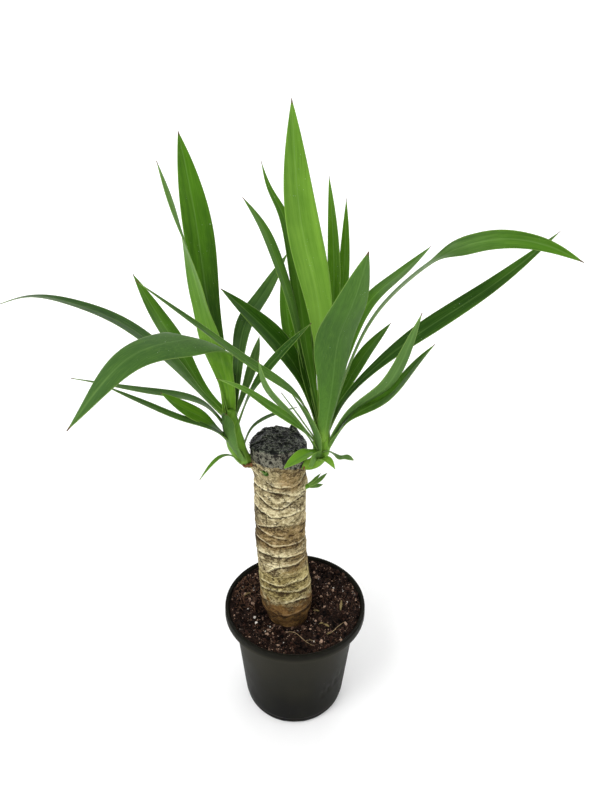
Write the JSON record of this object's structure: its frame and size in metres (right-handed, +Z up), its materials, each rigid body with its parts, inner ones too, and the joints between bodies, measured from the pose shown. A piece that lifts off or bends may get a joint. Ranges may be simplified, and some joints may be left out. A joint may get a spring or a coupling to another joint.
{
  "type": "potted plant",
  "caption": "Potted yucca with two leafy heads on a cut cane sealed with black wax, in a round black plastic nursery pot filled with dark potting soil",
  "frame": {"origin": "centre of the pot's flat base, where it rests", "axes": "+Z up along the pot's axis, -Y towards the front, from which the plant was pictured, and +X to the right seen from there"},
  "size_m": [0.583, 0.3016, 0.6861],
  "materials": {
    "black_plastic": "satin",
    "potting_soil": "matte",
    "cane_bark": "matte",
    "wound_wax": "satin",
    "left_leaves": "satin",
    "right_leaves": "satin",
    "sprout_green": "satin",
    "bud_green": "satin"
  },
  "bodies": {
    "root": {"pot": "black_plastic", "soil": "potting_soil", "trunk": "cane_bark", "wax_cap": "wound_wax", "shoot_left": "left_leaves", "shoot_right": "right_leaves", "sprout": "sprout_green", "bud_front": "bud_green"}
  },
  "joints": []
}
